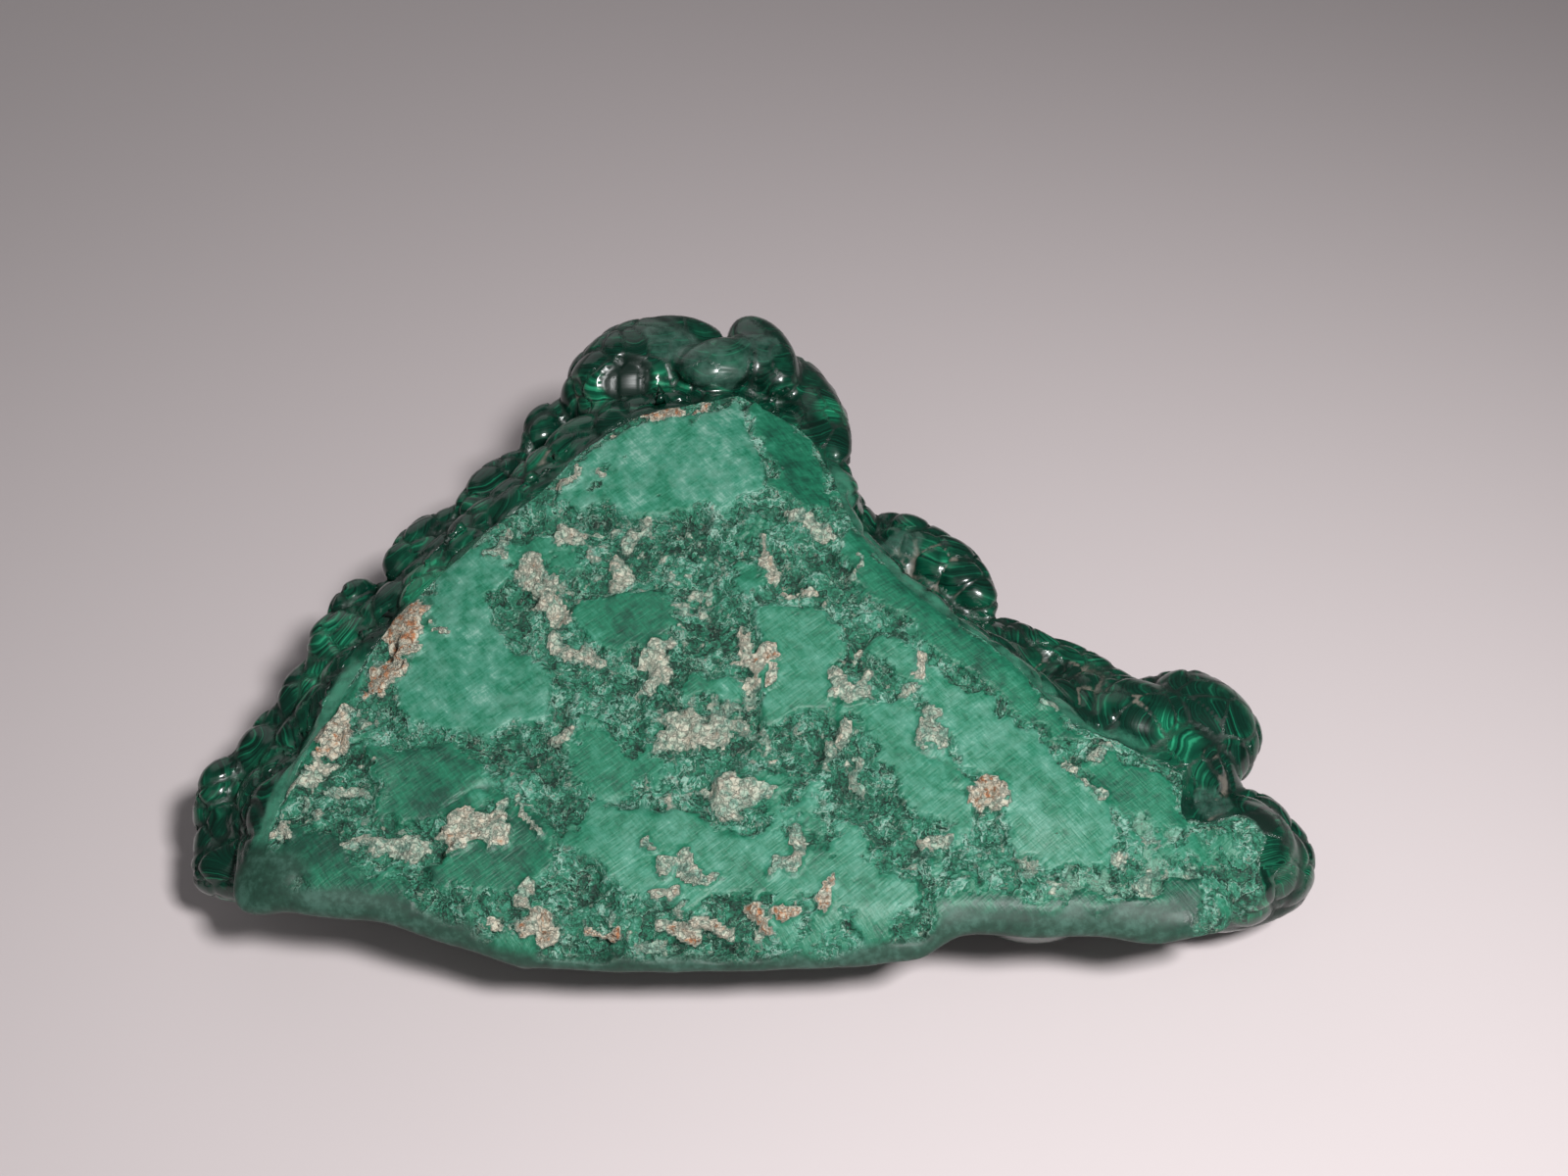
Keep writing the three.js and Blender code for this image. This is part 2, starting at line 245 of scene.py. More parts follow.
def cellNoise(points, size, seed, jitter=0.95):  # how far the nearest two cells of a random packing are
    base = np.floor(points / size).astype(np.int64)
    near = np.full(len(points), 1e9)
    second = np.full(len(points), 1e9)
    tone = np.zeros(len(points))
    for corner in range(27):
        cell = base + np.array([corner % 3 - 1, corner // 3 % 3 - 1, corner // 9 - 1])
        shift = np.stack([latticeRandom(cell, seed + axis) for axis in range(3)], axis=-1)
        place = (cell + 0.5 + (shift - 0.5) * jitter) * size
        gap = np.sqrt(((points - place) ** 2).sum(axis=1))
        closer = gap < near
        second = np.where(closer, near, np.minimum(second, gap))
        near = np.where(closer, gap, near)
        tone = np.where(closer, latticeRandom(cell, seed + 7), tone)
    return near, second, tone


# The back: a broken face, ground flat in patches, with crusts of matrix left on it.
back = {
    "facets": [  # outline, how high the patch stands, its tilt along x and y from its middle, its tone
        ([(-28, 14), (-24, 21.5), (-17.5, 26.5), (-12, 28), (-7, 30), (-3.2, 34.5), (-1, 30),
          (0, 20.4), (2.3, 16.3), (-3, 14), (-8, 11), (-17.5, 12),
          (-24, 11.5)], 1.0, (0.02, 0.0), 0.75),
        ([(-1.5, 34), (5, 31), (8.5, 26.7), (10.6, 20.4), (10, 15.2), (4, 14.2),
          (1.3, 18)], 0.7, (-0.2, 0.0), 0.35),
        ([(-46, -3), (-41, 4), (-37, 7), (-33, 3), (-34, -4), (-31, -8), (-25.8, -10.8), (-25.3, -17),
          (-31, -20.5), (-38.3, -19.7), (-44, -17), (-46.5, -9)], 0.5, (0.03, -0.02), 0.68),
        ([(-48, -21), (-40, -21), (-34, -23), (-33, -29), (-38, -31),
          (-46, -30.5)], 0.1, (0, 0.03), 0.25),
        ([(-31, -30), (-24.5, -30), (-23.5, -37), (-28, -40), (-38, -39.5),
          (-40, -37)], 0.2, (0, 0), 0.3),
        ([(-20.6, -30), (-14, -28.5), (-3, -31), (4, -33), (12, -37), (20, -38), (19, -40.5),
          (2, -40), (-8, -41), (-18, -38), (-23, -34)], 0.3, (0, 0), 0.6),
        ([(0.7, -1.5), (8.5, -2.5), (12.7, -6.7), (11.7, -13), (8.5, -17), (1.3, -19),
          (0, -13)], 0.7, (-0.03, 0.02), 0.56),
        ([(-10, -11), (-1.5, -12), (-1.5, -15.5), (-9.5, -15.5)], 0.3, (0, 0), 0.5),
        ([(-22.5, -19.5), (-17.5, -20), (-15, -23), (-17, -27.5), (-21.5, -26)], 0.1, (0, 0), 0.4),
        ([(14.3, -16), (20, -15), (25.2, -22.3), (28.3, -28.5), (26.3, -33), (20, -29.6),
          (16.9, -23.3)], 0.6, (0.05, -0.02), 0.6),
        ([(13.5, -7.5), (16, -5.5), (22, -9.5), (30.4, -14.5), (37.7, -21.5), (41.9, -27), (45, -33),
          (42.9, -37), (34.6, -38), (30.4, -32), (28, -25.5), (23.5, -18),
          (16.9, -12)], 0.7, (0.0, 0.0), 0.66),
        ([(12, 12), (15.5, 9), (20.5, 3), (30, -5.5), (36, -11), (42, -18.5), (38, -19.5), (30, -12),
          (22, -5.5), (14, 1), (11.5, 6)], 0.3, (0, 0), 0.35),
        ([(41, -22), (46, -20.5), (53, -24), (53, -29.5), (47, -30), (43, -27)], 0.3, (0, 0), 0.35),
        ([(-24, -1), (-14, 0.5), (-10, -3), (-13, -7), (-20, -8), (-24, -5)], 0.0, (0, 0), 0.35),
        ([(-54, -15), (-50.5, -9), (-49, -12), (-53, -20), (-57, -28),
          (-59.5, -29)], 0.6, (0, 0), 0.5),
        ([(22, -41), (34, -40.5), (44, -40.5), (54, -37), (54, -42), (34, -43.5),
          (22, -43.5)], 0.2, (0, 0), 0.08),
        ([(-56, -31), (-50, -33), (-47, -37), (-40, -40.5), (-46, -42),
          (-58, -37)], 0.1, (0, 0), 0.15),
    ],
    "crusts": [  # x, y, half length, half width, turn in degrees, warmth from pale green to tan
        (-46, -6.5, 8, 2.6, 68, 0.9), (-52.3, -18, 6, 1.5, 65, 0.8), (-55.5, -25, 4, 1.5, 65, 0.5),
        (-41, -5.4, 1, 0.8, 0, 0.6), (-33.5, 8.5, 4, 1.6, 60, 0.3), (-24.8, 9, 3.2, 1.4, -15, 0.5),
        (-28.8, 2.5, 3.4, 2.2, -45, 0.5), (-27, -0.8, 4.2, 2.3, -50, 0.6), (-18.5, 3, 3, 1.8, 60, 0.5),
        (-23.5, -8, 4.2, 1.8, -35, 0.5), (-20.5, -9.5, 1.6, 1.4, 0, 0.5),
        (-11.6, -9, 3.4, 1.8, 80, 0.5), (-13.5, -12.5, 1.8, 1.0, 30, 0.4),
        (0.5, -9.8, 3.8, 2.9, 20, 0.75), (-1.5, -6, 1.6, 1.0, 45, 0.6), (2.6, -12.5, 1.7, 1.1, 60, 0.7),
        (-6.5, -19.5, 5.2, 3.2, 0, 0.5), (-2.8, -17.6, 1.8, 1.3, 30, 0.4),
        (-1.6, -26.4, 3.7, 2.9, 35, 0.45), (-4.8, -28.5, 1.8, 1.2, 0, 0.4),
        (12.2, -14.5, 2.7, 2.9, 0, 0.45), (11.2, -19.5, 2.8, 1.2, 85, 0.5),
        (13.6, -25.5, 3.6, 0.9, -65, 0.3),
        (19.4, -14.8, 1.4, 0.9, 20, 0.2), (22.7, -18.8, 2.6, 1.4, -75, 0.35),
        (22.3, -10.8, 2.2, 1.1, 65, 0.75), (21, -12, 1.4, 0.8, -20, 0.7),
        (29.3, -27.3, 2.6, 1.9, 60, 0.9), (27.4, -29.3, 1.4, 0.9, 0, 0.8), (31, -29.5, 1.2, 0.8, 0, 0.6),
        (41, -23.5, 1.3, 0.9, -60, 0.4), (41.5, -26.5, 1.2, 0.8, 0, 0.3),
        (-34.7, -32.2, 4.4, 2.6, 40, 0.65), (-31, -28.7, 2.6, 0.8, 50, 0.5),
        (-36.5, -34.8, 1.6, 1.2, 0, 0.8), (-43.2, -34.5, 5, 1.3, -5, 0.35),
        (-47, -33.7, 1.8, 1.0, 0, 0.4), (-26.4, -31.5, 2.4, 0.6, -55, 0.3),
        (-7.5, -36.7, 4, 1.0, -12, 0.4), (-11.8, -34.3, 1.2, 1.5, 0, 0.4), (-11, -38.4, 1.4, 0.9, 0, 0.6),
        (-24.5, -43.6, 2.8, 1.5, -30, 0.85), (-30, -44, 1.4, 1.2, 0, 0.7),
        (-17.5, -44, 1.7, 1.1, 60, 1.0), (-7, -43.8, 3.4, 1.0, 0, 0.8),
        (-11.5, -43.3, 1.4, 0.9, 0, 0.6), (0.7, -42.5, 1.4, 1.6, 0, 1.0),
        (8.5, -39.3, 0.9, 1.6, 0, 0.9), (4.5, -42.6, 1.2, 0.6, 0, 0.9), (-26, -39, 1.2, 2.2, -20, 0.5),
        (5.2, -34, 3.6, 1.0, 70, 0.3), (21.5, -33.7, 2.6, 1.1, 10, 0.5), (19, -36, 1.2, 0.7, 0, 0.4),
        (6.5, 12, 2.2, 1.6, 20, 0.45), (8.8, 10, 1.2, 0.9, 0, 0.4),
        (1.2, 5, 3.8, 0.8, -80, 0.75), (5.4, 0.6, 2, 0.9, 15, 0.6), (8.8, -0.2, 1.3, 1.0, 0, 0.7),
        (12.8, -7.8, 2.6, 0.7, 75, 0.55), (13.8, 4.5, 1.8, 0.6, -60, 0.3),
        (43, -20.3, 1.6, 0.9, 30, 0.3), (46, -18, 1.4, 0.7, 0, 0.5), (38, -14.5, 0.9, 0.6, 0, 0.3),
        (-13.5, 28.9, 3.6, 1.1, 5, 0.85), (-8.4, 31, 2.6, 0.8, 35, 0.9), (-17.2, 28.3, 1.1, 0.8, 0, 1.0),
        (-20.2, 25.7, 0.8, 0.5, 0, 0.9), (-20, 19.4, 0.8, 0.6, 0, 0.7), (-25.8, 17.8, 1.2, 0.7, 45, 0.6),
        (-23.7, -20.2, 1.5, 1.0, 30, 0.5), (-48, -24, 1.4, 0.7, -50, 0.4), (-50, -28, 2.2, 0.8, 10, 0.3),
        (-57, -32.5, 1.6, 1.0, 0, 0.5), (2.8, -22.5, 0.7, 0.7, 0, 0.8), (-15.8, 7, 1.8, 0.7, 60, 0.4),
    ],
    "paleRough": [  # x, y, half length, half width, turn: rough places bleached to a pale green
        (49.5, -33, 8, 3.4, 75), (40, -39.5, 7, 2, 8), (52, -38, 3, 3, 0), (36, -35, 5, 1.6, -40),
        (-38, 7.5, 4, 2, 45), (12, 8, 3, 1.5, -60),
    ],
    "cracks": [  # points along each crack, half width, depth
        ([(-27, 11.6), (-20, 11), (-13, 10.2), (-7, 10.4), (-1.5, 13.2), (4, 13.6), (8, 12.6)], 0.7, 1.1),
        ([(10.4, -15.5), (9.9, -19), (12, -23.5), (13.2, -28), (14.5, -31)], 0.45, 0.9),
        ([(16, -12.5), (19, -18), (24, -24.5), (26.6, -29)], 0.3, 0.5),
        ([(-26.8, -23), (-25, -27), (-22.6, -30.5), (-20.4, -33)], 0.22, 0.35),
        ([(-46, -18), (-43, -21.5), (-39, -21), (-34, -22.6), (-27, -21)], 0.5, 0.7),
        ([(-22, -28), (-16, -28.6), (-9, -29.4), (-5, -31.4), (0, -31.6)], 0.5, 0.8),
        ([(-13.5, -15), (-9, -16.4), (-3, -16), (-0.5, -20), (1.5, -24), (-0.5, -30)], 0.45, 0.8),
        ([(16, -33), (24, -36.5), (31, -38.6), (38, -38)], 0.4, 0.6),
        ([(-47.5, -10), (-45, -4), (-43.5, 0.5)], 0.35, 0.5),
        ([(-37.5, -28.5), (-33.5, -26.5), (-30.2, -25.8)], 0.3, 0.6),
        ([(2.5, 14.5), (-0.5, 18), (-1, 25), (-2.8, 34)], 0.25, 0.25),
    ],
    "breakSize": 6.5, "breakHeight": 1.15,        # lumps and hollows of the break
    "ledgeStep": 0.5,                             # it broke in small ledges
    "blocks": [(4.6, 0.55), (2.1, 0.38)],         # size and height of the blocks it broke into
    "grainSize": 1.1, "grainHeight": 0.3,
    "facetBlend": 0.6,      # neighbouring patches melt into each other over this distance
    "groundLift": 3.2,      # how far the break would stand above the ground patches inside them
    "breakLevel": -0.45,    # and its own mean level outside them
    "coated": [             # x, y, half length, half width, turn: where clay clings to the high places
        (-14, 3, 17, 11, -20), (-3, -20, 13, 9, 0), (-51, -20, 6, 14, -25), (16, -22, 8, 12, 20),
        (-38, -33, 14, 5, 0), (40, -37, 16, 5, 0), (-8, -43, 24, 3, 0), (28, -17, 10, 3, -45),
    ],
    "crustHeight": 0.85,
}


def ellipseShare(x, y, spot):  # 1 in the middle of a turned ellipse, 0 at its edge, less outside
    turn = math.radians(spot[4])
    along = ((x - spot[0]) * math.cos(turn) + (y - spot[1]) * math.sin(turn)) / spot[2]
    across = ((y - spot[1]) * math.cos(turn) - (x - spot[0]) * math.sin(turn)) / spot[3]
    return 1 - np.sqrt(along ** 2 + across ** 2)


def pathDistance(path, x, y):
    nearest = np.full(x.shape, 1e9)
    for (ax, ay), (bx, by) in zip(path[:-1], path[1:]):
        along = ((x - ax) * (bx - ax) + (y - ay) * (by - ay)) / ((bx - ax) ** 2 + (by - ay) ** 2)
        along = np.clip(along, 0, 1)
        nearest = np.minimum(nearest, np.hypot(x - ax - along * (bx - ax), y - ay - along * (by - ay)))
    return nearest


def ledges(height, step):
    low = np.floor(height / step)
    return (low + fade(0.45, 0.95, height / step - low)) * step


def backRelief(points):  # height over the back's own level, and the masks that colour it
    flat = points * np.array([1, 1, 0.0])
    ragged = cloudNoise(flat, 3.2, 11, 3, 0.6)
    fine = cloudNoise(flat, back["grainSize"], 12, 2)
    x = points[:, 0] + 1.0 * softNoise(flat, 3.4, 13) + 0.5 * softNoise(flat, 1.3, 14)
    y = points[:, 1] + 1.0 * softNoise(flat, 3.4, 15) + 0.5 * softNoise(flat, 1.3, 16)

    broken = back["breakHeight"] * cloudNoise(flat, back["breakSize"], 21, 3, 0.55)
    broken = 0.65 * ledges(broken, back["ledgeStep"]) + 0.35 * broken
    lumps = np.zeros(len(points))
    crevice = np.zeros(len(points))
    wander = np.stack([cloudNoise(flat, 2.4, seed, 3, 0.6) for seed in (51, 52, 53)], axis=-1)
    for size, blockHeight in back["blocks"]:
        near, second, rank = cellNoise(flat + 0.28 * size * wander, size, 54)
        dome = 0.3 - 0.8 * (near / size) ** 2
        lumps += blockHeight * (2 * rank - 1 + dome)
        crevice = np.maximum(crevice, np.exp(-((second - near) / (0.06 * size + 0.08)) ** 2))
    broken += lumps - 0.15 * crevice + back["grainHeight"] * fine + back["breakLevel"]

    # each patch was ground to a plane, which caught only the high places of the break around it
    nearest = np.full(len(points), 1e9)
    plane = np.zeros(len(points))
    tone = np.zeros(len(points))
    weights = np.zeros(len(points))
    for outline, level, tilt, shade in back["facets"]:
        middle = np.mean(outline, axis=0)
        away = outlineDistance(outline, x, y)
        weight = 1 / (np.maximum(away, 0) + back["facetBlend"]) ** 3
        plane += weight * (level + tilt[0] * (x - middle[0]) + tilt[1] * (y - middle[1]))
        tone += weight * shade
        weights += weight
        nearest = np.minimum(nearest, away)
    tone = tone / weights
    plane = plane / weights * fade(6, 0, nearest) + 0.25 * fade(0, 6, nearest)
    plane += 0.05 * cloudNoise(flat, 7, 23, 2)
    broken += back["groundLift"] * fade(0.7, -1.6, nearest)
    ground = fade(-0.06, 0.12, broken - plane)
    height = roundMin(broken, plane, 0.1)
    tone = 0.5 + (tone - 0.5) * fade(2.5, -1.0, nearest)

    crust = np.full(len(points), -9.0)
    warmth = np.full(len(points), 0.4)
    crustX = x + 1.3 * softNoise(flat, 2.7, 17)
    crustY = y + 1.3 * softNoise(flat, 2.7, 18)
    for spot in back["crusts"]:
        share = ellipseShare(crustX, crustY, spot)
        warmth = np.where(share > crust, spot[5], warmth)
        crust = np.maximum(crust, share)
    crust = crust + 0.24 * ragged + 0.14 * fine
    crustEdge = fade(-0.12, 0.02, crust) * fade(0.16, 0.06, crust)
    crust = fade(0.04, 0.16, crust)
    clods = 0.5 + 0.5 * cloudNoise(flat, 1.7, 25, 3, 0.6)
    coated = np.full(len(points), 0.25)
    for spot in back["coated"]:
        coated = np.maximum(coated, fade(-0.2, 0.4, ellipseShare(x, y, spot) + 0.3 * ragged))
    high = fade(0.05, 0.55, 0.6 * lumps + 0.55 * fine + 0.5 * softNoise(flat, 3.5, 27))
    coated = coated * high * (1 - 0.85 * ground)
    height += crust * (back["crustHeight"] * (0.45 + clods) + 0.1 * fine)

    pale = np.zeros(len(points))
    for spot in back["paleRough"]:
        pale = np.maximum(pale, fade(-0.1, 0.5, ellipseShare(x, y, spot) + 0.3 * ragged))
    pale *= 1 - 0.8 * ground

    # painted shade: the cracks, the crevices between blocks, the break's lowest hollows and a band round
    # each crust are darkened in colour
    dark = np.zeros(len(points))
    for path, width, depth in back["cracks"]:
        near = np.exp(-(pathDistance(path, x, y) / width) ** 2) * (1 - 0.7 * crust)
        near *= 0.55 + 0.45 * softNoise(flat, 2.2, 26)
        height -= depth * near
        dark = np.maximum(dark, near)
    # painted light and shade: the break is coloured lighter on its high places and darker in its low ones
    paintedReliefLight = np.clip(0.66 + 0.13 * (broken - back["breakLevel"]) + 0.22 * lumps + 0.12 * fine, 0, 1)
    hollow = 0.3 * crevice * (1 - ground) * fade(-0.2, 0.5, ragged)
    hollow = np.maximum(hollow, 0.6 * fade(-1.3, -2.6, broken))
    hollow = np.maximum(hollow, 0.75 * crustEdge) * (1 - crust)
    warmth = warmth * crust + 0.22 * (1 - crust)
    crust = np.maximum(crust, 0.8 * coated)
    return height, {"ground": ground, "groundTone": tone, "crust": crust, "warmth": warmth,
                    "pale": pale, "dark": np.maximum(dark, hollow), "paintedReliefLight": paintedReliefLight}


# The flanks: botryoidal malachite, worn and polished, so each bubble shows its layers as rings.
flank = {
    "creaseWidth": 0.5, "creaseDepth": 0.3,        # between two lobes
    "cellSize": 5.4, "cellDome": 0.6,              # the scales that a large lobe is made of
    "cellCreaseWidth": 0.34, "cellCreaseDepth": 0.4,
    "stepSpacing": 1.7, "stepHeight": 0.06,        # worn edges of the layers
    "waver": 1.0,                                  # the outlines wander this far
    "scaly": [  # x, y, z, reach: where the surface is broken up into scales
        (-21, 44, 39, 9), (-10, 48, 41, 8), (24.7, 13.4, 26, 9), (39, -1, 23, 7), (46, -11, 25, 7),
        (57, -18, 24, 5), (9, 32, 37, 9), (-67, -22, 18, 4), (64, -37, 15, 7), (-56, 0, 26, 6),
        (-49, 4, 30, 7), (-40, 13, 33, 7), (-31, 21, 36, 8), (-61, -12, 24, 6),
    ],
    "dusty": [  # x, y, z, reach: where clay is left in the grooves
        (24, 13, 25, 9), (41, -6, 24, 8), (49, -12, 25, 6), (59, -22, 22, 5), (-30, 25, 36, 5),
        (-27, 35, 36, 5), (57.7, -31, 22, 4),
    ],
    "bright": [  # x, y, z, reach: layers cut at a shallow angle, so the brighter green shows
        (-55, 0, 26.5, 6), (-44, 3, 31, 6), (53.6, -17.9, 24, 5.5), (11, 34, 37, 3.5),
        (-35, 18, 36, 6), (46, -36, 18, 5), (-58, -8, 25, 4), (60, -36, 17, 6), (27.9, 14.1, 26.7, 2.5),
        (-12.7, 37.8, 39.8, 4), (-23.5, 36.1, 39, 3.5),
    ],
    "smooth": [  # x, y, z, reach: dull grey-green spots where the polish has worn
        (-12.2, 44, 42.4, 5.5), (0.7, 42, 42.6, 4.5), (58, -26, 21.5, 4), (20.8, 17, 26, 3.5),
        (-5.5, 38.5, 43.7, 6.5),
    ],
    "pockets": [  # x, y, z, reach: sunk places with sharp rims
        (-18.7, 37.5, 40.5, 5.2), (63.2, -30.5, 22.2, 3.4),
    ],
    "pocketDepth": 0.9,
}


def patches(points, spots):  # 1 inside any of the spots, falling off towards their reach
    share = np.zeros(len(points))
    for x, y, z, reach in spots:
        away = np.sqrt(((points - np.array([x, y, z])) ** 2).sum(axis=1))
        share = np.maximum(share, fade(reach, 0.5 * reach, away))
    return share


def lobeField(points):  # the two nearest lobes, and rings round the top of the nearest one
    first = np.full(len(points), 1e9)
    second = np.full(len(points), 1e9)
    ring = np.zeros(len(points))
    tone = np.zeros(len(points))
    for index, lobe in enumerate(lobes):
        centre = np.array(lobe[:3])
        gap = lobeDistance(points, lobe)
        out = centre - np.array([-3, -8, 22])
        lean = np.array([math.sin(7 * index), math.cos(5 * index), 1])
        out = out / np.linalg.norm(out) + 0.3 * lean
        eye = centre + lobe[4] * out / np.linalg.norm(out)
        closer = gap < first
        second = np.where(closer, first, np.minimum(second, gap))
        ring = np.where(closer, np.sqrt(((points - eye) ** 2).sum(axis=1)), ring)
        tone = np.where(closer, (index * 0.618) % 1, tone)
        first = np.where(closer, gap, first)
    return first, second, ring, tone


def flankRelief(points, beside):
    drift = np.stack([softNoise(points, 6, seed) for seed in (31, 32, 33)], axis=-1)
    warped = points + flank["waver"] * drift
    first, second, ring, tone = lobeField(warped)
    crease = np.exp(-((second - first) / flank["creaseWidth"]) ** 2) * fade(1.8, 0.6, np.abs(first))
    scaly = fade(0.62, 0.95, cloudNoise(points, 16, 44, 2)) * 0.6
    scaly = np.maximum(scaly, np.maximum(patches(points, flank["scaly"]), beside))
    near, nextNear, cellTone = cellNoise(warped, flank["cellSize"], 34)
    cellCrease = np.exp(-((nextNear - near) / flank["cellCreaseWidth"]) ** 2) * scaly
    height = -flank["creaseDepth"] * crease
    height += scaly * flank["cellDome"] * (0.5 - (near / flank["cellSize"]) ** 2 * 2.2)
    height -= flank["cellCreaseDepth"] * cellCrease
    layer = ring + 0.3 * scaly * near + 0.4 * softNoise(points, 3, 45)
    step = (layer / flank["stepSpacing"]) % 1
    stepped = flank["stepHeight"] * fade(-0.2, 0.5, softNoise(points, 9, 46))
    height += stepped * (0.5 - np.abs(step - 0.5) * 2)
    height += 0.16 * cloudNoise(points, 8, 47, 2)
    pocket = patches(warped + 0.5 * drift[:, ::-1], flank["pockets"])
    height -= flank["pocketDepth"] * fade(0.3, 0.55, pocket)
    groove = np.maximum(crease, cellCrease)
    dusty = patches(points, flank["dusty"]) * fade(-0.6, 0.2, softNoise(points, 3, 48))
    bright = patches(points, flank["bright"]) * fade(-0.5, 0.3, softNoise(points, 5, 49))
    worn = fade(0.35, 0.6, patches(warped, flank["smooth"]) + 0.3 * softNoise(points, 2.2, 50))
    return height, {"groove": groove, "dust": groove * dusty, "layer": layer, "bright": bright,
                    "worn": worn, "pocket": fade(0.25, 0.6, pocket),
                    "cellTone": (tone + cellTone * scaly) % 1}


# The surface: the CAD solid is remeshed finely, pulled onto the exact bubbles, and given its relief.
mesh = {"coarseVoxel": 0.9, "fineVoxel": 0.5, "pulls": 4, "lastPulls": 2, "evenings": 40}
zones = {  # each kind of surface comes in from the first to the second millimetre
    "back": {"depth": (1.3, 0.35), "rim": (0.9, -0.2)},
    "arm": {"tip": (66, 60), "root": (49, 56), "side": (-27, -31), "depth": (8, 5)},  # right end
    "roll": {"rim": (-1.9, -0.6), "side": (-37, -40), "end": (60, 48), "depth": (7, 4)},  # worn near edge
    "corner": {"place": (-59, -37), "stretch": 1.6, "reach": (8, 3)},
    "even": {"place": (-60, -35), "reach": (12, 7)},
    "beside": {"rim": (0.2, 1.2), "depth": (14, 9), "side": (-36, -30)},  # scales under the rim
    "feet": {"height": (1.5, 0.4)},
    "bevel": {"rimIn": (-0.6, 0.4), "rimOut": (3.6, 2.2), "depth": (3.0, 1.8)},  # a cut along the rim
    "leftBevel": {"end": (-46, -50), "near": (-37, -32), "far": (-5, -11)},
    "rightBevel": {"end": (8, 12), "near": (-24, -16), "far": (30, 22)},
}


def meshArrays(data):
    points = np.empty(len(data.vertices) * 3, np.float32)
    data.vertices.foreach_get("co", points)
    normals = np.empty(len(data.vertices) * 3, np.float32)
    data.vertex_normals.foreach_get("vector", normals)
    return points.reshape(-1, 3).astype(float), normals.reshape(-1, 3).astype(float)


def setPoints(data, points):
    data.vertices.foreach_set("co", points.astype(np.float32).ravel())
    data.update()


def toPlan(points):
    return points / millimetre + np.array([*plan["boxCentre"], 0])


def fromPlan(points):
    return (points - np.array([*plan["boxCentre"], 0])) * millimetre


def remeshed(piece, voxel):
    modifier = piece.modifiers.new("remesh", "REMESH")
    modifier.mode = "VOXEL"
    modifier.voxel_size = voxel * millimetre
    modifier.use_smooth_shade = True
    shown = piece.evaluated_get(bpy.context.evaluated_depsgraph_get())
    data = bpy.data.meshes.new_from_object(shown)
    piece.modifiers.clear()
    piece.data = data


def pulled(piece, times):
    for _ in range(times):
        points, normals = meshArrays(piece.data)
        points = toPlan(points)
        step = np.clip(stoneDistance(points), -1.5, 1.5)
        setPoints(piece.data, fromPlan(points - 0.8 * step[:, None] * normals))


def eased(data, points, weights, times):  # evens the surface out where the weights are high
    ends = np.empty(len(data.edges) * 2, np.int32)
    data.edges.foreach_get("vertices", ends)
    a, b = ends.reshape(-1, 2).T
    size = len(points)
    links = (np.bincount(a, minlength=size) + np.bincount(b, minlength=size))[:, None]
    for _ in range(times):
        near = [np.bincount(a, points[b, axis], size) + np.bincount(b, points[a, axis], size)
                for axis in range(3)]
        points = points + 0.7 * weights[:, None] * (np.stack(near, axis=-1) / links - points)
    return points


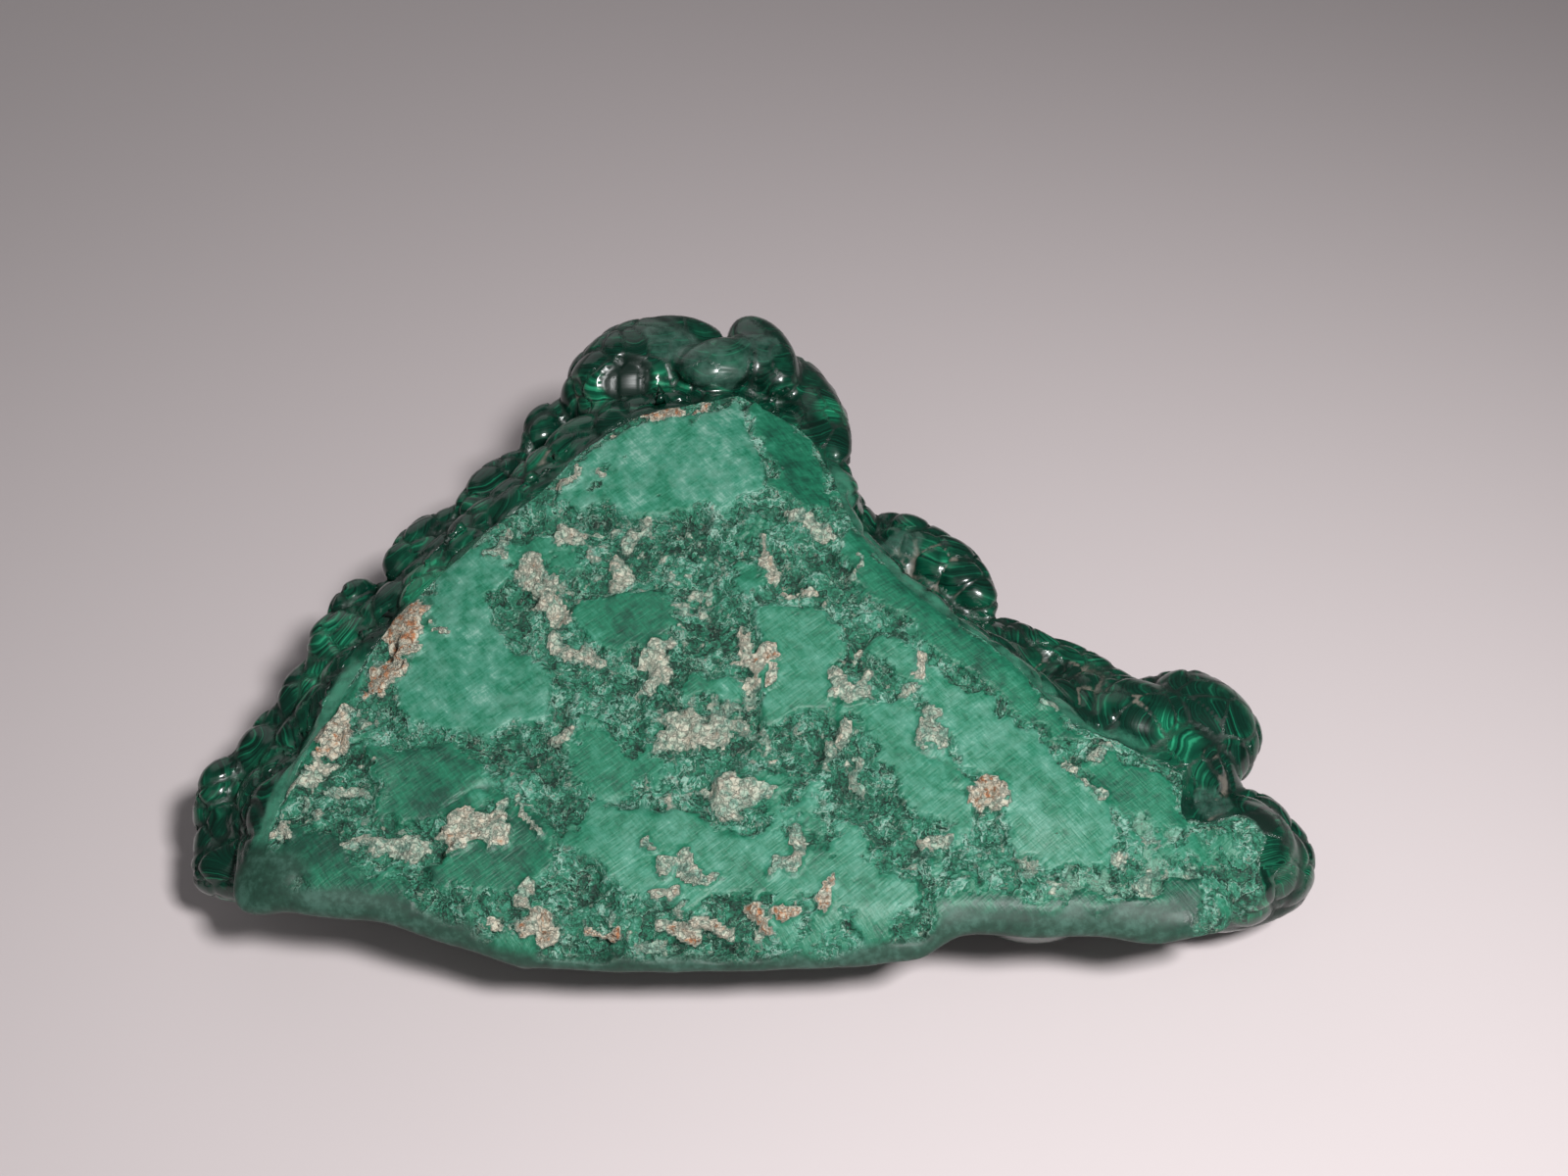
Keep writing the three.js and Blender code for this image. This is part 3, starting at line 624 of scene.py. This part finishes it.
def buildStone():
    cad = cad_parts[plan["node"]]
    stone = bpy.data.objects.new("malachite_surface", cad.data.copy())
    bpy.context.scene.collection.objects.link(stone)
    stone.data.materials.clear()
    remeshed(stone, mesh["coarseVoxel"])
    pulled(stone, mesh["pulls"])
    remeshed(stone, mesh["fineVoxel"])
    pulled(stone, mesh["lastPulls"])
    print("stone shaped:", len(stone.data.vertices), "points")

    points, normals = meshArrays(stone.data)
    points = toPlan(points)
    x, y, z = points.T
    fromRim = outlineDistance(plan["rim"], x, y)
    depth = backAt(x, y) - z
    zone = zones["arm"]
    arm = fade(*zone["tip"], x + 2 * softNoise(points, 3, 63)) * fade(*zone["root"], x)
    arm *= fade(*zone["side"], y) * fade(*zone["depth"], depth)
    zone = zones["roll"]
    roll = fade(*zone["rim"], fromRim + 0.7 * softNoise(points, 3, 61)) * fade(*zone["side"], y)
    roll *= fade(*zone["end"], x)
    corner = zones["corner"]
    away = np.hypot(x - corner["place"][0], (y - corner["place"][1]) * corner["stretch"])
    roll = np.maximum(roll, fade(*corner["reach"], away + 2 * softNoise(points, 3, 62)))
    roll *= fade(*zone["depth"], depth)
    zone = zones["even"]
    away = np.hypot(x - zone["place"][0], y - zone["place"][1])
    even = np.maximum(roll, fade(*zone["reach"], away))
    setPoints(stone.data, fromPlan(eased(stone.data, points, even, mesh["evenings"])))
    points, normals = meshArrays(stone.data)
    points = toPlan(points)
    onBack = fade(*zones["back"]["depth"], depth) * fade(*zones["back"]["rim"], fromRim)
    backHeight, backMasks = backRelief(points)
    zone = zones["beside"]
    beside = fade(*zone["rim"], fromRim) * fade(*zone["depth"], depth) * fade(*zone["side"], y)
    flankHeight, flankMasks = flankRelief(points, beside)
    edgeCalm = 0.3 + 0.7 * fade(0.0, 1.5, np.abs(fromRim))
    onFeet = fade(*zones["feet"]["height"], z)
    height = backHeight * onBack * edgeCalm * (1 - 0.85 * roll)
    height += flankHeight * (1 - 0.7 * roll) * (1 - onBack) * (1 - onFeet) * fade(0.1, 0.8, depth)
    moved = points + height[:, None] * normals
    moved[:, 2] = np.maximum(moved[:, 2], 0)
    setPoints(stone.data, fromPlan(moved))
    ground = backMasks["ground"]
    # the break's tone is its painted light and shade from height; the ground patches keep their own tones
    tone = (0.1 + 0.72 * backMasks.pop("paintedReliefLight")) * (1 - ground)
    tone += (0.22 + 0.6 * backMasks.pop("groundTone")) * ground
    sides = []
    for zone in (zones["leftBevel"], zones["rightBevel"]):
        sides.append(fade(*zone["end"], x) * fade(*zone["near"], y) * fade(*zone["far"], y))
    zone = zones["bevel"]
    bevel = fade(*zone["rimIn"], fromRim) * fade(*zone["rimOut"], fromRim) * fade(*zone["depth"], depth)
    bevel *= np.maximum(sides[0], 0.75 * sides[1])
    masks = {"onBack": np.maximum(onBack, 0.85 * arm), "roll": roll * (1 - 0.7 * arm), "bevel": bevel,
             "tone": tone, **backMasks, **flankMasks}
    for name, values in masks.items():
        layer = stone.data.attributes.new(name, "FLOAT", "POINT")
        layer.data.foreach_set("value", values.astype(np.float32))
    for polygon in stone.data.polygons:
        polygon.use_smooth = True
    print("relief added")
    return stone


stone = buildStone()


def linear(hexColour):  # sRGB hex to the linear numbers that a socket takes
    channels = [int(hexColour[i:i + 2], 16) / 255 for i in (1, 3, 5)]
    return [c / 12.92 if c <= 0.04045 else ((c + 0.055) / 1.055) ** 2.4 for c in channels] + [1]


def addNode(material, kind, settings, inputs, output=0):
    node = material.node_tree.nodes.new("ShaderNode" + kind)
    for name, value in settings.items():
        if name == "stops":
            for place, colour in value[2:]:
                node.color_ramp.elements.new(place)
            for element, (place, colour) in zip(node.color_ramp.elements, sorted(value)):
                element.position = place
                element.color = linear(colour)
        else:
            setattr(node, name, value)
    for name, value in inputs.items():
        if isinstance(value, bpy.types.NodeSocket):
            material.node_tree.links.new(value, node.inputs[name])
        else:
            node.inputs[name].default_value = value
    return node.outputs[output] if node.outputs else node


# Malachite, a green copper carbonate in curved layers. Its flanks are tumble polished, which gives a
# waxy to glassy gloss over dark and bright rings. Its back is hand ground, which leaves a chalky,
# finely scratched teal, and what was not ground is a dull dark break with crusts of clay and limonite.
malachite = {
    "ior": 1.78,                       # between malachite's three indices, 1.65 to 1.91
    "gloss": 0.3,                      # the open break and the grinding scratches swallow much of it
    "noises": [("fine", 0.45, 3), ("small", 1.1, 5), ("middle", 2.6, 4), ("broad", 7, 3)],  # mm, detail
    "ringsPerMillimetre": 1.5, "ringShift": 37, "ringWaver": 0.9,
    "rings": [(0.3, "#031c14"), (0.8, "#0d5c41"), (0.45, "#063326"), (0.55, "#031c14"),
              (0.66, "#063326")],
    "brightRings": [(0.3, "#063326"), (0.7, "#2b8f69"), (0.5, "#0d5c41")],
    # painted shade laid into the grooves between lobes
    "crease": "#010c08",
    # painted shade inside the sunk pockets
    "pocket": "#031c14",
    "bevel": "#3f7f67", "bevelFray": (2.6, -1.4),      # a polished cut across the layers
    "back": [(0.0, "#05291e"), (1.0, "#80aa9a"), (0.25, "#074634"), (0.5, "#13684c"), (0.75, "#388069")],
    "rolled": [(0.0, "#0b2b20"), (1.0, "#355a4d"), (0.5, "#183e30")],
    "worn": "#466a5d", "wornFray": (2.4, -0.75), "wornStrength": 0.75,
    "haze": "#7d9a90",                 # grinding powder left on the palest patches
    "bleached": "#84ad99",
    "crust": [(0.0, "#7b9f8d"), (1.0, "#ab7450"), (0.3, "#a7b3a1"), (0.6, "#c4c0ae"), (0.85, "#b4a48f")],
    "crustPit": "#33544a",
    "lip": "#9dbfab",                  # painted highlight along the upper edge of each small ledge, over the pale colour of thin broken edges
    # painted shade just under each small step of the break, and a painted highlight just above it
    "ledgeShadeAndHighlight": [(0.44, "#bcbcbc"), (0.56, "#bcbcbc"), (0.49, "#303030"), (0.51, "#ffffff")],
    "dust": "#6d685e",
    # painted shade laid into the cracks, crevices, low hollows and round the crusts
    "hollow": "#041a14",
    "roughness": {"polished": 0.2, "bevel": 0.28, "crease": 0.7, "pocket": 0.45, "broken": 0.66,
                  "ground": 0.5, "crust": 0.92, "rolled": 0.6},
    "crumbsPerMillimetre": 0.9, "crumbShake": 2.2, "crumbShade": 0.44, "specksPerMillimetre": 0.85,
    "streakTurns": (50, -38),          # grinding marks run two ways
    "streakStretch": (0.3, 3.2, 1),
    "edges": [("ledge", 3.4), ("chip", 1.5)],   # the break's small steps, in millimetres
    "shares": [  # layer, what it follows, where it starts, where it is full, how strong it is there
        ("cloudy", "broad", 0.48, 0.72, 0.6), ("crease", "groove", 0.25, 0.9, 0.6),
        ("hazy", "middle", 0.42, 0.7, 0.36), ("paler", "tone", 0.5, 0.7, 1.0),
        ("lipped", "middle", 0.49, 0.56, 1.0), ("pits", "small", 0.46, 0.3, 0.7),
        ("hollow", "dark", 0.3, 0.95, 0.6),
    ],
    "frayed": [  # mask, the noise that frays it, its gain and offset, start, full and strength as above
        ("dust", "small", 1.1, -0.55, 0.5, 0.95, 0.8), ("pale", "small", 2.6, -1.4, 0.5, 0.95, 0.5),
        ("crust", "small", 1.5, -0.75, 0.4, 0.6, 1.0), ("onBack", "middle", 0.35, -0.175, 0.42, 0.6, 1.0),
    ],
    "toneGains": [("broad", 0.6), ("middle", 0.7), ("small", 0.5)], "toneLevel": 0.9,
    "reliefLevel": -0.82,              # keeps the break's mean level with the ground patches
}


def buildMalachite():
    material = bpy.data.materials.new("polishedAndGroundMalachite")
    material.use_nodes = True
    material.node_tree.nodes.clear()
    look = malachite
    add = partial(addNode, material)
    multiply = {"operation": "MULTIPLY"}
    multiplyAdd = {"operation": "MULTIPLY_ADD"}
    larger = {"operation": "MAXIMUM"}
    colours = {"data_type": "RGBA"}
    place = add("TexCoord", {}, {}, "Object")
    place = add("Mapping", {}, {"Vector": place, "Scale": (1000, 1000, 1000)})
    field = {}  # masks from the mesh, and noise of each size
    for name in ("onBack", "roll", "bevel", "ground", "tone", "crust", "warmth", "pale", "dark",
                 "groove", "dust", "layer", "bright", "worn", "pocket", "cellTone"):
        field[name] = add("Attribute", {"attribute_name": name}, {}, "Fac")
    for name, size, detail in look["noises"]:
        field[name] = add("TexNoise", {}, {
            "Vector": place, "Scale": 1 / size, "Detail": detail, "Roughness": 0.65})
    share = {"pocket": field["pocket"], "ground": field["ground"]}  # how much of each layer shows
    for name, source, low, high, strength in look["shares"]:
        share[name] = add("MapRange", {}, {
            "Value": field[source], "From Min": low, "From Max": high, "To Max": strength})
    for name, source, gain, offset, low, high, strength in look["frayed"]:
        frayed = add("Math", multiplyAdd, {0: field[source], 1: gain, 2: offset})
        frayed = add("Math", {}, {0: frayed, 1: field[name]})
        share[name] = add("MapRange", {}, {
            "Value": frayed, "From Min": low, "From Max": high, "To Max": strength})

    # polished flanks: each lobe's layers, cut as rings, then what lies over them, with painted shade in
    # the grooves and pockets
    ring = add("Math", multiply, {0: field["cellTone"], 1: look["ringShift"]})
    for source, gain in (("middle", look["ringWaver"]), ("layer", look["ringsPerMillimetre"])):
        ring = add("Math", multiplyAdd, {0: field[source], 1: gain, 2: ring})
    ring = add("TexNoise", {"noise_dimensions": "1D"},
               {"W": ring, "Scale": 1.0, "Detail": 1.5, "Roughness": 0.7})
    polished = add("ValToRGB", {"stops": look["rings"]}, {"Fac": ring})
    lighter = add("ValToRGB", {"stops": look["brightRings"]}, {"Fac": ring})
    cloudy = add("Math", larger, {0: share["cloudy"], 1: field["bright"]})
    polished = add("Mix", colours, {0: cloudy, 6: polished, 7: lighter}, 2)
    gain, offset = look["wornFray"]
    worn = add("Math", multiplyAdd, {0: field["middle"], 1: gain, 2: offset})
    worn = add("Math", {"operation": "MULTIPLY", "use_clamp": True}, {0: field["worn"], 1: worn})
    share["worn"] = add("Math", multiply, {0: worn, 1: look["wornStrength"]})
    gain, offset = look["bevelFray"]
    bevel = add("Math", multiplyAdd, {0: field["middle"], 1: gain, 2: offset})
    bevel = add("Math", {"use_clamp": True}, {0: bevel, 1: field["bevel"]})
    share["bevel"] = add("Math", multiply, {0: bevel, 1: field["bevel"]})
    # painted shade darkens the grooves and pockets; dust, worn spots and the bevel are the stone's own
    for name in ("crease", "dust", "pocket", "worn", "bevel"):
        polished = add("Mix", colours, {0: share[name], 6: polished, 7: linear(look[name])}, 2)

    # grinding marks
    streaks = None
    for turn in look["streakTurns"]:
        along = add("Mapping", {}, {"Vector": place, "Rotation": (0, 0, math.radians(turn))})
        along = add("Mapping", {}, {"Vector": along, "Scale": look["streakStretch"]})
        marks = add("TexNoise", {}, {"Vector": along, "Scale": 1.0, "Detail": 3, "Roughness": 0.6})
        streaks = add("Math", {}, {0: marks, 1: streaks}) if streaks else marks

    # small ledges in the break: painted shade as a dark line under each step, and a painted highlight as
    # a pale lip above it
    step = {}
    ledgeShading = {}
    for name, size in look["edges"]:
        noise = add("TexNoise", {}, {
            "Vector": place, "Scale": 1 / size, "Detail": 5, "Roughness": 0.6, "Distortion": 0.4})
        ledgeShading[name] = add("ValToRGB", {"stops": look["ledgeShadeAndHighlight"]}, {"Fac": noise})
        step[name] = add("MapRange", {}, {"Value": noise, "From Min": 0.485, "From Max": 0.515})

    # the break's own crumbs, each with a shade of its own
    crumbs = look["crumbsPerMillimetre"]
    shaken = add("TexNoise", {}, {"Vector": place, "Scale": crumbs, "Detail": 4, "Roughness": 0.6},
                 "Color")
    shaken = add("VectorMath", multiplyAdd, {0: shaken, 1: [look["crumbShake"]] * 3, 2: place})
    crumbGap = add("TexVoronoi", {"feature": "DISTANCE_TO_EDGE"}, {"Vector": shaken, "Scale": crumbs})
    crumbGap = add("MapRange", {}, {"Value": crumbGap, "From Min": 0.0, "From Max": 0.1})
    crumb = add("TexVoronoi", {}, {"Vector": shaken, "Scale": crumbs}, "Color")
    crumb = add("Math", multiplyAdd, {0: crumb, 1: look["crumbShade"], 2: -look["crumbShade"] / 2})

    # the back's tone: painted light and shade from the relief's height, then clouds, grinding marks and
    # grain
    tone = field["tone"]
    for source, gain in look["toneGains"]:
        tone = add("Math", multiplyAdd, {0: field[source], 1: gain, 2: tone})
    tone = add("Math", {"operation": "SUBTRACT"}, {0: tone, 1: look["toneLevel"]})
    marked = add("Math", multiplyAdd, {0: streaks, 1: 0.4, 2: -0.4})
    rugged = crumb
    # the ledges' painted shade and highlight go into the break's tone
    for source, gain in ((field["fine"], 0.9), (ledgeShading["ledge"], 0.7), (ledgeShading["chip"], 0.56)):
        rugged = add("Math", multiplyAdd, {0: source, 1: gain, 2: rugged})
    rugged = add("Math", {"operation": "SUBTRACT"}, {0: rugged, 1: 1.08})
    rugged = add("Mix", {}, {0: field["ground"], 2: rugged, 3: marked})
    tone = add("Math", {"use_clamp": True}, {0: tone, 1: rugged})
    backColour = add("ValToRGB", {"stops": look["back"]}, {"Fac": tone})
    haze = add("Math", multiply, {0: share["hazy"], 1: field["ground"]})
    haze = add("Math", multiply, {0: haze, 1: share["paler"]})
    bare = add("MapRange", {}, {"Value": field["ground"], "To Min": 0.75, "To Max": 0.0})
    # painted highlight: a pale lip where the ledge line is brightest, kept off the ground patches
    lipHighlights = add("Math", larger, {0: ledgeShading["ledge"], 1: ledgeShading["chip"]})
    lipHighlights = add("MapRange", {}, {"Value": lipHighlights, "From Min": 0.78, "From Max": 1.0})
    for thinner in (share["lipped"], bare):
        lipHighlights = add("Math", multiply, {0: lipHighlights, 1: thinner})
    for layer, name in ((haze, "haze"), (share["pale"], "bleached"), (lipHighlights, "lip")):
        backColour = add("Mix", colours, {0: layer, 6: backColour, 7: linear(look[name])}, 2)

    # crusts and specks of clay and limonite, then painted shade in the cracks and hollows
    specks = add("TexNoise", {}, {"Vector": place, "Scale": look["specksPerMillimetre"], "Detail": 5,
                                  "Roughness": 0.75})
    specks = add("MapRange", {}, {"Value": specks, "From Min": 0.585, "From Max": 0.63})
    specks = add("Math", multiply, {0: specks, 1: bare})
    share["crust"] = add("Math", larger, {0: share["crust"], 1: specks})
    warmth = add("Math", multiplyAdd, {0: field["small"], 1: 2.0, 2: -1.14})
    warmth = add("Math", {}, {0: crumb, 1: warmth})
    warmth = add("Math", {"use_clamp": True}, {0: warmth, 1: field["warmth"]})
    crustColour = add("ValToRGB", {"stops": look["crust"]}, {"Fac": warmth})
    gaps = add("MapRange", {}, {"Value": crumbGap, "From Min": 0.5, "From Max": 0.0, "To Max": 0.4})
    pits = add("Math", larger, {0: share["pits"], 1: gaps})
    crustColour = add("Mix", colours, {0: pits, 6: crustColour, 7: linear(look["crustPit"])}, 2)
    for layer, over in ((share["crust"], crustColour), (share["hollow"], linear(look["hollow"]))):
        backColour = add("Mix", colours, {0: layer, 6: backColour, 7: over}, 2)

    # where the back gives way to the polish, and where the near edge is worn round
    rolled = add("Math", {}, {0: field["broad"], 1: field["small"]})
    rolled = add("MapRange", {}, {"Value": rolled, "From Min": 0.75, "From Max": 1.25})
    rolled = add("ValToRGB", {"stops": look["rolled"]}, {"Fac": rolled})
    colour = polished
    for layer, over in ((share["onBack"], backColour), (field["roll"], rolled)):
        colour = add("Mix", colours, {0: layer, 6: colour, 7: over}, 2)

    # gloss
    polishedGloss = look["roughness"]["polished"]
    for name in ("bevel", "crease", "pocket"):
        polishedGloss = add("Mix", {}, {0: share[name], 2: polishedGloss, 3: look["roughness"][name]})
    backGloss = look["roughness"]["broken"]
    for name in ("ground", "crust"):
        backGloss = add("Mix", {}, {0: share[name], 2: backGloss, 3: look["roughness"][name]})
    roughness = polishedGloss
    for layer, over in ((share["onBack"], backGloss), (field["roll"], look["roughness"]["rolled"])):
        roughness = add("Mix", {}, {0: layer, 2: roughness, 3: over})

    # relief too fine for the mesh, in millimetres
    broken = look["reliefLevel"]
    for source, gain in ((field["small"], 0.75), (field["fine"], 0.3), (crumb, 0.7), (step["ledge"], 0.4),
                         (step["chip"], 0.2)):
        broken = add("Math", multiplyAdd, {0: source, 1: gain, 2: broken})
    flat = add("Math", multiplyAdd, {0: streaks, 1: 0.09, 2: -0.12})
    flat = add("Math", multiplyAdd, {0: field["small"], 1: 0.06, 2: flat})
    lumpy = add("Math", multiplyAdd, {0: crumbGap, 1: 0.25, 2: broken})
    relief = broken
    for layer, over in ((field["ground"], flat), (share["crust"], lumpy)):
        relief = add("Mix", {}, {0: layer, 2: relief, 3: over})
    shiny = add("Math", multiply, {0: ring, 1: 0.03})
    relief = add("Mix", {}, {0: share["onBack"], 2: shiny, 3: relief})
    relief = add("Mix", {}, {0: field["roll"], 2: relief, 3: 0.0})
    normal = add("Bump", {}, {"Height": relief, "Strength": 0.9, "Distance": millimetre})
    shader = add("BsdfPrincipled", {}, {
        "Base Color": colour, "Roughness": roughness, "Normal": normal, "IOR": look["ior"],
        "Specular IOR Level": look["gloss"]})
    add("OutputMaterial", {}, {"Surface": shader})
    return material


stone.data.materials.append(buildMalachite())
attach(stone, "root")
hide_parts(plan["node"])
print("malachite laid on")


# The room: a pale table, one soft key from the upper right, and wide fills from the front and behind.
room = {
    "floorSide": 3.0, "floorColour": "#c6bcbd", "floorRoughness": 0.75,
    "lamps": [  # name, place, side, power
        ("key", (0.095, -0.17, 0.29), 0.045, 1.5), ("fill", (-0.2, -0.5, 0.55), 0.6, 0.5),
        ("behind", (-0.25, 0.55, 0.35), 0.6, 0.5),
    ],
    "lampTarget": (0, 0, 0.02),
    "air": 0.10, "airColour": "#d9dcde",
}


def buildFloor():
    half = room["floorSide"] / 2
    data = bpy.data.meshes.new("table")
    corners = [(-half, -half, 0), (half, -half, 0), (half, half, 0), (-half, half, 0)]
    data.from_pydata(corners, [], [(0, 1, 2, 3)])
    floor = bpy.data.objects.new("table", data)
    bpy.context.scene.collection.objects.link(floor)
    material = bpy.data.materials.new("matPaperboard")
    material.use_nodes = True
    shader = material.node_tree.nodes["Principled BSDF"]
    shader.inputs["Base Color"].default_value = linear(room["floorColour"])
    shader.inputs["Roughness"].default_value = room["floorRoughness"]
    data.materials.append(material)


def addLamp(name, place, side, power):
    lamp = bpy.data.lights.new(name, "AREA")
    lamp.size = side
    lamp.energy = power
    piece = bpy.data.objects.new(name, lamp)
    piece.location = place
    aim = Vector(room["lampTarget"]) - Vector(place)
    piece.rotation_euler = aim.to_track_quat("-Z", "Y").to_euler()
    bpy.context.scene.collection.objects.link(piece)


buildFloor()
for lamp in room["lamps"]:
    addLamp(*lamp)
world = bpy.data.worlds.new("air")
world.use_nodes = True
world.node_tree.nodes["Background"].inputs["Color"].default_value = linear(room["airColour"])
world.node_tree.nodes["Background"].inputs["Strength"].default_value = room["air"]
bpy.context.scene.world = world

# The camera looks down on the back from the near side.
cameraView = {"lens": 38.0, "sensor": 36, "place": (0.0049, -0.1615, 0.185), "pitch": 43.77}
lensData = bpy.data.cameras.new("camera")
lensData.lens = cameraView["lens"]
lensData.sensor_width = cameraView["sensor"]
lensData.clip_start = 0.01
camera = bpy.data.objects.new("camera", lensData)
camera.location = cameraView["place"]
camera.rotation_euler = (math.radians(90 - cameraView["pitch"]), 0, 0)
bpy.context.scene.collection.objects.link(camera)
bpy.context.scene.camera = camera
bpy.context.scene.view_settings.view_transform = "Standard"
